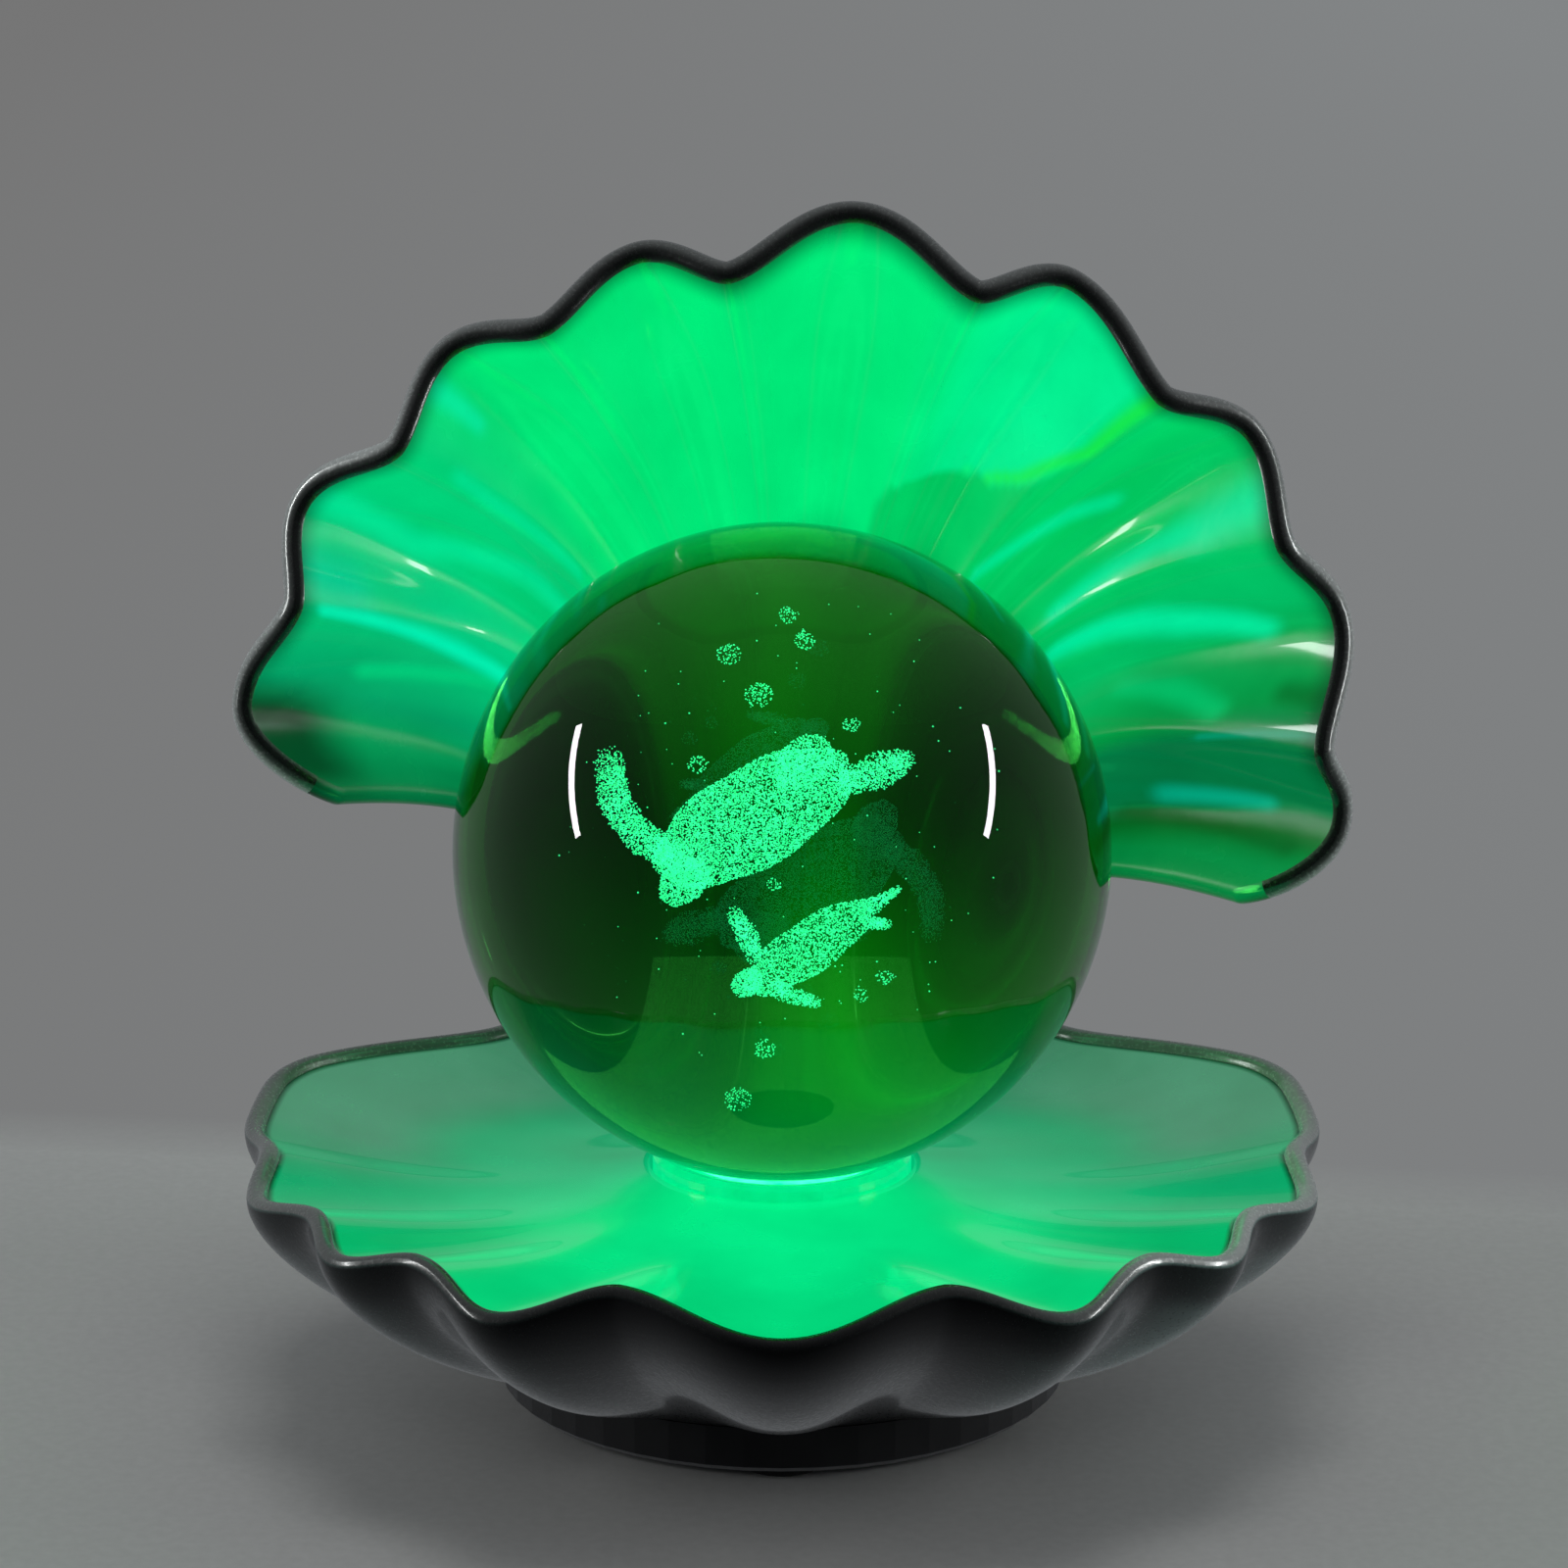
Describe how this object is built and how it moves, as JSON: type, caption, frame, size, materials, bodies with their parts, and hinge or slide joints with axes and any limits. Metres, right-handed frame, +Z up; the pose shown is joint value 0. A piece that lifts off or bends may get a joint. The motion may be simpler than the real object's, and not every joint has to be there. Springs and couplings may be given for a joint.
{
  "type": "shell night light",
  "caption": "Open scallop shell night light: two fluted resin valves hold a loose glass ball lit from below, with button cells and a slide switch in the foot.",
  "frame": {"origin": "on the table under the centre of the ornament's bounding box, at the underside of the non-slip pads", "axes": "+Z up, -Y towards the front where the shell opens, +X to the right seen from the front"},
  "size_m": [0.1054, 0.0892, 0.1076],
  "materials": {
    "valve_resin": "pearl silver resin, glossy inside",
    "crystal": "polished, engraved inside",
    "clear_silicone": "translucent, satin",
    "frosted_acrylic": "frosted",
    "black_plastic": "moulded, fine grain",
    "white_plastic": "moulded, glossy",
    "pad_rubber": "matte",
    "steel": "zinc plated",
    "cell_steel": "nickel plated, brushed",
    "board": "solder mask over laminate",
    "resistor": "matte",
    "led_lens": "clear over white",
    "red_insulation": "satin",
    "yellow_insulation": "satin",
    "black_insulation": "satin"
  },
  "bodies": {
    "housing": {"lower_valve": "valve_resin", "upper_valve": "valve_resin", "seat_ring": "clear_silicone", "light_window": "frosted_acrylic", "neck_dowel_left": "steel", "neck_dowel_right": "steel", "base_plate": "black_plastic", "non_slip_pad_front": "pad_rubber", "non_slip_pad_right": "pad_rubber", "non_slip_pad_left": "pad_rubber", "base_screw_back": "steel", "base_screw_right": "steel", "base_screw_left": "steel", "battery_tray": "black_plastic", "button_cell_1": "cell_steel", "button_cell_2": "cell_steel", "button_cell_3": "cell_steel", "contact_spring": "cell_steel", "positive_contact": "cell_steel", "negative_contact": "cell_steel", "red_wire": "red_insulation", "black_wire": "black_insulation", "switch_wire": "yellow_insulation", "switch_body": "cell_steel", "switch_pin_1": "steel", "switch_pin_2": "steel", "switch_pin_3": "steel", "led_board": "board", "board_screw_left": "steel", "board_screw_right": "steel", "board_resistor_1": "resistor", "board_resistor_2": "resistor", "board_resistor_3": "resistor", "controller_chip": "black_plastic", "colour_led": "led_lens", "reflector_cup": "white_plastic"},
    "ball": {"crystal_ball": "crystal"},
    "switch": {"switch_slider": "black_plastic"},
    "door": {"battery_door": "black_plastic", "door_screw": "steel"}
  },
  "joints": [
    {"name": "ball_lift", "type": "slide", "parent": "housing", "child": "ball", "axis": [0, -0.7071, 0.7071], "range_m": [0, 0.09]},
    {"name": "switch_slide", "type": "slide", "parent": "housing", "child": "switch", "axis": [1, 0, 0], "range_m": [0, 0.002]},
    {"name": "battery_door_lift", "type": "slide", "parent": "housing", "child": "door", "axis": [0, 0, -1], "range_m": [0, 0.03]}
  ]
}
